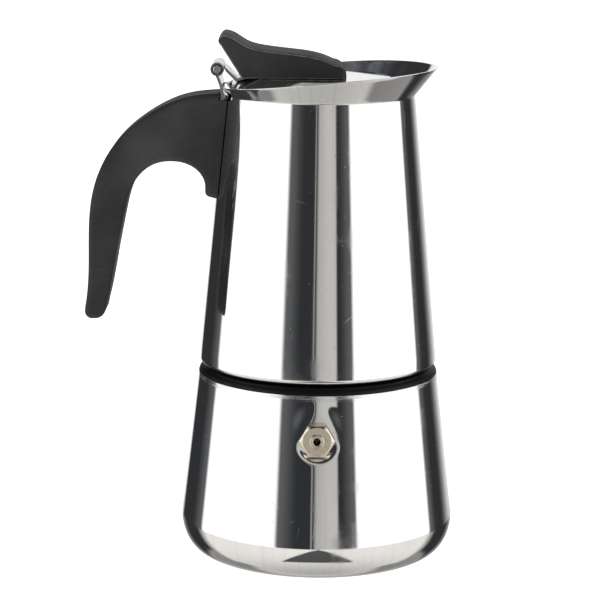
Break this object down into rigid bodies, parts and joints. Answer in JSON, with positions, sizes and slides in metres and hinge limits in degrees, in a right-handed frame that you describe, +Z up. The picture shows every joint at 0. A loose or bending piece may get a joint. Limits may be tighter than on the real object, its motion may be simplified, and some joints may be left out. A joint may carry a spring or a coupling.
{
  "type": "moka pot",
  "caption": "Stove-top moka pot in polished steel: conical boiler with safety valve, screw-on flared jug, hinged lid with curved knob and open hook handle.",
  "frame": {"origin": "on the pot's upright axis, in the plane that it stands on", "axes": "+Z up along the pot's axis, +X towards the pouring lip, the handle at -X, the safety valve at -Y"},
  "size_m": [0.1348, 0.0998, 0.1906],
  "materials": {
    "polished_steel": "mirror polished stainless steel",
    "satin_steel": "satin stainless steel",
    "hinge_steel": "tumbled stainless sheet",
    "fastener_steel": "machined steel",
    "spring_steel": "drawn wire",
    "nickel_brass": "nickel-plated brass",
    "black_plastic": "satin black phenolic",
    "seal_silicone": "translucent white silicone"
  },
  "bodies": {
    "boiler": {"boiler_shell": "polished_steel", "boiler_neck": "polished_steel", "valve_body": "nickel_brass", "valve_washer": "seal_silicone", "valve_nut": "nickel_brass", "valve_seat": "nickel_brass", "valve_spring": "spring_steel"},
    "poppet": {"valve_poppet": "nickel_brass"},
    "funnel": {"funnel_basket": "satin_steel", "funnel_stem": "satin_steel", "funnel_screen": "satin_steel"},
    "carrier": {"gasket": "seal_silicone", "filter_plate": "satin_steel"},
    "collector": {"collector_shell": "polished_steel", "collector_floor": "satin_steel", "column": "satin_steel", "column_cap": "satin_steel", "handle": "black_plastic", "handle_bracket": "satin_steel", "handle_screw": "fastener_steel", "hinge_bracket": "hinge_steel", "hinge_pin": "fastener_steel"},
    "lid": {"lid_disc": "polished_steel", "lid_leaf": "hinge_steel", "lid_knob": "black_plastic", "knob_screws": "fastener_steel"}
  },
  "joints": [
    {"name": "valve_lift", "type": "slide", "parent": "boiler", "child": "poppet", "axis": [0, -1, 0], "range_m": [0, 0.0015], "stiffness_N_per_m": 1500, "springref_m": -0.001, "deforming": ["valve_spring"]},
    {"name": "funnel_lift", "type": "slide", "parent": "boiler", "child": "funnel", "axis": [0, 0, 1], "range_m": [0, 0.00401]},
    {"name": "collector_lift", "type": "slide", "parent": "boiler", "child": "carrier", "axis": [0, 0, 1], "range_m": [0, 0.00801]},
    {"name": "collector_turn", "type": "hinge", "parent": "carrier", "child": "collector", "pos_m": [0, 0, 0.075], "axis": [0, 0, 1], "range_deg": [0, 720]},
    {"name": "lid_hinge", "type": "hinge", "parent": "collector", "child": "lid", "pos_m": [-0.0368, 0, 0.1777], "axis": [0, -1, 0], "range_deg": [0, 115]}
  ],
  "couplings": [
    {"joint": "collector_lift", "follows": "collector_turn", "m_per_rad": 0.00063662},
    {"joint": "funnel_lift", "follows": "collector_turn", "m_per_rad": 0.00031831}
  ]
}
